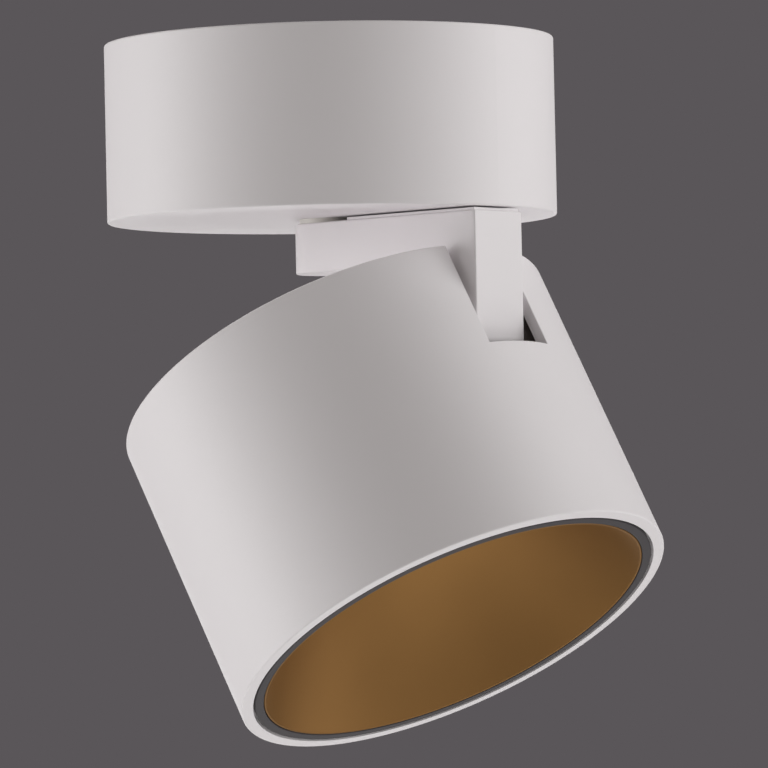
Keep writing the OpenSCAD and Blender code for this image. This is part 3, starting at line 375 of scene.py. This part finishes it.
class SPOTLIGHT_OT_finishes(Operator):
    """Gives every CAD node the procedural finish of its material slot."""

    bl_idname = "spotlight.finishes"
    bl_label = "Finishes"

    def execute(self, context):
        for packed in list(bpy.data.materials):
            packed.name = "packed_" + packed.name
        made = all_finishes(context.scene.spotlight_finishes)
        for part in frame["record"]["subparts"]:
            node = frame["nodes"][part["node"]]
            node.material_slots[0].material = made[part["material_slot"]]
        return {"FINISHED"}


# How the head hangs: its tilt in the photograph, and the axle's place in it, in millimetres.
REST_TILT = math.radians(30)
AXLE_IN_HEAD = Vector((38.0, 0.0, 10.4))

# Limits in millimetres that pick the head's edges: its outer skin, the box round the slot, and the mouth.
HEAD_RADIUS = 50.0
HEAD_SKIN = 0.45
SLOT_START = 20.0
SLOT_HALF_WIDTH = 12.0
SLOT_DEPTH = 30.0
MOUTH_DEPTH = 67.2

# Limits in millimetres that pick the arm's edges: its sides without the axle's bore, and its two ends.
ARM_SIDE = 7.6
AXLE_BORE = 6.0
BAR_END = -0.5
BAR_END_CENTRE = -0.85
BAR_END_RADIUS = 7.4
LEG_FACE = 49.6

# How near two corners are one corner, and the angles that tell flat, sharp and smooth edges apart.
SAME_PLACE = 0.001 * MM
FLAT_BELOW = math.radians(0.5)
SHARP_ABOVE = math.radians(35)
SMOOTH_BELOW = math.radians(40)


def in_head(point):
    """A place in millimetres as the head has it: along the arm, across it, and down from the head's top."""
    offset = point - AXLE / MM
    turned = Matrix.Rotation(REST_TILT, 3, "Y") @ offset
    return AXLE_IN_HEAD + Vector((turned.x, turned.y, -turned.z))


def softened(name, node, radius, steps, chosen):
    """Copies a CAD node, joins its triangles into faces and rounds those sharp edges that are chosen."""
    bm = bmesh.new()
    bm.from_mesh(frame["nodes"][node].data)
    bmesh.ops.remove_doubles(bm, verts=bm.verts, dist=SAME_PLACE)
    bmesh.ops.dissolve_limit(bm, angle_limit=FLAT_BELOW, verts=bm.verts, edges=bm.edges)
    sharp = [e for e in bm.edges if e.calc_face_angle(0) > SHARP_ABOVE]
    edges = [e for e in sharp if chosen((e.verts[0].co + e.verts[1].co) / 2 / MM)]
    if not edges:
        raise RuntimeError(f"{node} has none of the edges that were to be rounded")
    bmesh.ops.bevel(
        bm,
        geom=edges,
        offset=radius,
        offset_type="OFFSET",
        segments=steps,
        profile=0.5,
        affect="EDGES",
        material=-1,
    )
    return place(name, bm, node)


def place(name, bm, node):
    """Makes the mesh a piece that stands for a CAD node, on its body and in its finish."""
    mesh = bpy.data.meshes.new(name)
    bm.to_mesh(mesh)
    bm.free()
    mesh.shade_smooth()
    mesh.set_sharp_from_angle(angle=SMOOTH_BELOW)
    mesh.materials.clear()
    part = next(p for p in frame["record"]["subparts"] if p["node"] == node)
    mesh.materials.append(bpy.data.materials[part["material_slot"]])
    piece = bpy.data.objects.new(name, mesh)
    bpy.context.scene.collection.objects.link(piece)
    shading = piece.modifiers.new("even_shading", "WEIGHTED_NORMAL")
    shading.keep_sharp = True
    body = next(b for b, nodes in frame["record"]["behaviour"]["bodies"].items() if node in nodes)
    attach(piece, body)
    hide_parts(node)
    return piece


class SPOTLIGHT_OT_arm(Operator):
    """Softens the outline of the arm's bar and leg."""

    bl_idname = "spotlight.arm"
    bl_label = "Arm"

    def execute(self, context):
        edges = context.scene.spotlight_edges
        softened("arm_shell", "arm_casting", edges.arm, edges.steps, self.on_outline)
        return {"FINISHED"}

    @staticmethod
    def on_outline(point):
        """The arm's outer edges, without its bores and its cable channel."""
        from_axle = math.hypot(point.x - AXLE.x / MM, point.z - AXLE.z / MM)
        side = abs(point.y) > ARM_SIDE and from_axle > AXLE_BORE
        inner_end = point.x < BAR_END and math.hypot(point.x - BAR_END_CENTRE, point.y) > BAR_END_RADIUS
        outer_end = point.x > LEG_FACE
        return side or inner_end or outer_end


class SPOTLIGHT_OT_head(Operator):
    """Softens the edges of the slot that the arm's leg swings in."""

    bl_idname = "spotlight.head"
    bl_label = "Head housing"

    def execute(self, context):
        edges = context.scene.spotlight_edges
        softened("head_shell", "head_housing", edges.slot, edges.steps, self.round_slot)
        return {"FINISHED"}

    @staticmethod
    def round_slot(point):
        """The slot's outline on the head's outside."""
        spot = in_head(point)
        outside = math.hypot(spot.x, spot.y) > HEAD_RADIUS - HEAD_SKIN or spot.z < HEAD_SKIN
        return outside and spot.x > SLOT_START and abs(spot.y) < SLOT_HALF_WIDTH and spot.z < SLOT_DEPTH


class SPOTLIGHT_OT_mouth(Operator):
    """Softens the front ring and the reflector's lip."""

    bl_idname = "spotlight.mouth"
    bl_label = "Front ring and reflector"

    def execute(self, context):
        edges = context.scene.spotlight_edges
        softened("mouth_ring", "front_ring", edges.ring, edges.steps, self.at_mouth)
        softened("gold_bowl", "reflector", edges.lip, edges.steps, self.at_mouth)
        return {"FINISHED"}

    @staticmethod
    def at_mouth(point):
        """The edges about a millimetre from the mouth."""
        return in_head(point).z > MOUTH_DEPTH


def softbox(name, turn, rise, size, watts, centre):
    """A rectangular lamp that faces the centre from a turn and a rise given in degrees."""
    lamp = bpy.data.lights.new(name, "AREA")
    lamp.shape = "RECTANGLE"
    lamp.size, lamp.size_y = size
    lamp.energy = watts
    holder = bpy.data.objects.new(name, lamp)
    bpy.context.scene.collection.objects.link(holder)
    turn, rise = math.radians(turn), math.radians(rise)
    out = Vector((math.sin(turn) * math.cos(rise), -math.cos(turn) * math.cos(rise), math.sin(rise)))
    facing = out.to_track_quat("Z", "Y").to_matrix().to_4x4()
    holder.matrix_world = Matrix.Translation(centre + out * SOFTBOX_DISTANCE) @ facing
    holder.visible_camera = False
    return holder


class SPOTLIGHT_OT_studio(Operator):
    """Sets up the floor, the backdrop colour, the lamps and the camera."""

    bl_idname = "spotlight.studio"
    bl_label = "Studio"

    def execute(self, context):
        props = context.scene.spotlight_studio
        low, high = CAD_BOX
        centre = (low + high) / 2
        self.backdrop(context.scene, props)
        self.floor(props, centre)
        self.lamps(props, centre)
        self.camera(context.scene, props)
        context.scene.view_settings.view_transform = "Standard"
        return {"FINISHED"}

    def backdrop(self, scene, props):
        """The backdrop colour is what the camera, gloss and glass see; the fill colour lights the rest."""
        world = bpy.data.worlds.new("studio")
        world.use_nodes = True
        scene.world = world
        tree = world.node_tree
        tree.nodes.clear()
        path = tree.nodes.new("ShaderNodeLightPath")
        seen = Value(tree, path.outputs["Is Camera Ray"]) + Value(tree, path.outputs["Is Glossy Ray"])
        seen = seen + Value(tree, path.outputs["Is Transmission Ray"])
        lit, shown = (tree.nodes.new("ShaderNodeBackground") for _ in range(2))
        lit.inputs["Color"].default_value = rgba(props.fill)
        shown.inputs["Color"].default_value = rgba(props.backdrop)
        mix = tree.nodes.new("ShaderNodeMixShader")
        output = tree.nodes.new("ShaderNodeOutputWorld")
        tree.links.new(seen.socket, mix.inputs["Fac"])
        tree.links.new(lit.outputs[0], mix.inputs[1])
        tree.links.new(shown.outputs[0], mix.inputs[2])
        tree.links.new(mix.outputs[0], output.inputs["Surface"])

    def floor(self, props, centre):
        """Pale floor of the room, a storey below the ceiling."""
        bm = bmesh.new()
        half = props.floor_size / 2
        bmesh.ops.create_grid(bm, x_segments=FLOOR_SQUARES, y_segments=FLOOR_SQUARES, size=half)
        bmesh.ops.translate(bm, vec=(centre.x, centre.y, -props.floor_drop), verts=bm.verts)
        mesh = bpy.data.meshes.new("room_floor")
        bm.to_mesh(mesh)
        bm.free()
        plaster = Finish("floor_paint", 0.7)
        clouds = plaster.noise(0.4, 3)
        plaster.set(Base_Color=plaster.mix(clouds, rgba(props.floor, 0.98), rgba(props.floor, 1.02)))
        mesh.materials.append(plaster.material)
        room_floor = bpy.data.objects.new("room_floor", mesh)
        bpy.context.scene.collection.objects.link(room_floor)

    def lamps(self, props, centre):
        """Large softboxes, strongest at the two sides, as in the photograph, with weak ones behind."""
        facing = math.degrees(props.azimuth)
        for name, turn, rise, width, height, watts in SOFTBOXES:
            softbox(name, facing + turn, rise, (width, height), watts * props.level, centre)

    def camera(self, scene, props):
        """A long lens on a stand: the turn, pitch and roll are those of the photograph."""
        camera = bpy.data.objects.new("camera", bpy.data.cameras.new("camera"))
        scene.collection.objects.link(camera)
        camera.data.lens = props.lens
        camera.data.clip_end = CAMERA_REACH
        turn = props.azimuth
        stand = Vector((math.sin(turn) * props.distance, -math.cos(turn) * props.distance, props.height))
        aim = Matrix.Rotation(turn + props.yaw, 4, "Z") @ Matrix.Rotation(props.pitch, 4, "X")
        aim = aim @ Matrix.Rotation(props.roll, 4, "Y") @ Matrix.Rotation(math.radians(90), 4, "X")
        camera.matrix_world = Matrix.Translation(stand) @ aim
        scene.camera = camera


class SPOTLIGHT_PT_parts(Panel):
    """Lists the pieces and the studio in the sidebar."""

    bl_idname = "SPOTLIGHT_PT_parts"
    bl_label = "Spotlight"
    bl_space_type = "VIEW_3D"
    bl_region_type = "UI"
    bl_category = "Spotlight"

    def draw(self, context):
        for operator in OPERATORS:
            self.layout.operator(operator.bl_idname)
        for group, name in GROUPS.items():
            box = self.layout.box()
            for key in group.__annotations__:
                box.prop(getattr(context.scene, name), key)


OPERATORS = (
    SPOTLIGHT_OT_finishes,
    SPOTLIGHT_OT_arm,
    SPOTLIGHT_OT_head,
    SPOTLIGHT_OT_mouth,
    SPOTLIGHT_OT_studio,
)
GROUPS = {
    SpotlightFinishes: "spotlight_finishes",
    SpotlightEdges: "spotlight_edges",
    SpotlightStudio: "spotlight_studio",
}


def register():
    """Registers the classes and hangs the properties on the scene."""
    for cls in (*GROUPS, *OPERATORS, SPOTLIGHT_PT_parts):
        bpy.utils.register_class(cls)
    for group, name in GROUPS.items():
        setattr(bpy.types.Scene, name, PointerProperty(type=group))


def unregister():
    """Takes the properties and the classes away again."""
    for name in GROUPS.values():
        delattr(bpy.types.Scene, name)
    for cls in (SPOTLIGHT_PT_parts, *reversed(OPERATORS), *GROUPS):
        bpy.utils.unregister_class(cls)


def main():
    """Builds everything in order."""
    register()
    for operator in OPERATORS:
        group, name = operator.bl_idname.split(".")
        getattr(getattr(bpy.ops, group), name)()


if __name__ == "__main__":
    main()
